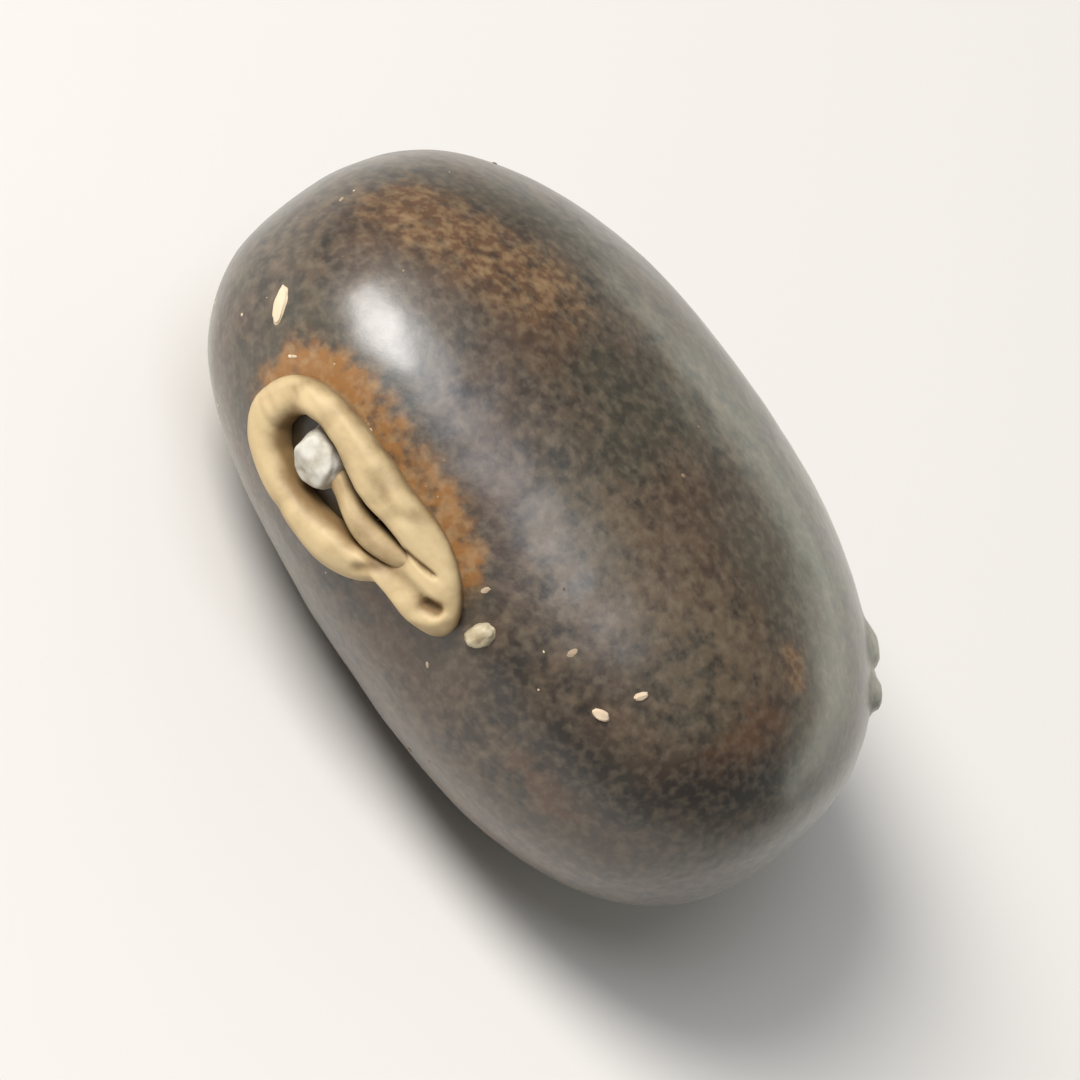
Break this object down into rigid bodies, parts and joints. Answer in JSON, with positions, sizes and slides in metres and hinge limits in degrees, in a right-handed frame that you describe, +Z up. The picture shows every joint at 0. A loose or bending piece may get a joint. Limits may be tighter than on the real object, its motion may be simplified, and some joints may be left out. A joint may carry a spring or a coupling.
{
  "type": "velvet bean",
  "caption": "Dry, dark kidney-shaped seed lying on its broad side, with a thick cream aril standing proud round the slit of its hilum and a small pale lens beside it.",
  "frame": {"origin": "on the surface that the seed lies on, under the middle of its box", "axes": "+X along the seed, towards the end away from the hilum; the hilum faces -Y, tipped up 12 degrees; +Z up through the broad sides"},
  "size_m": [0.0154, 0.0114, 0.0083],
  "materials": {
    "seed_coat": "satin",
    "aril": "matte"
  },
  "bodies": {
    "root": {"seed": "seed_coat", "aril": "aril"}
  },
  "joints": []
}
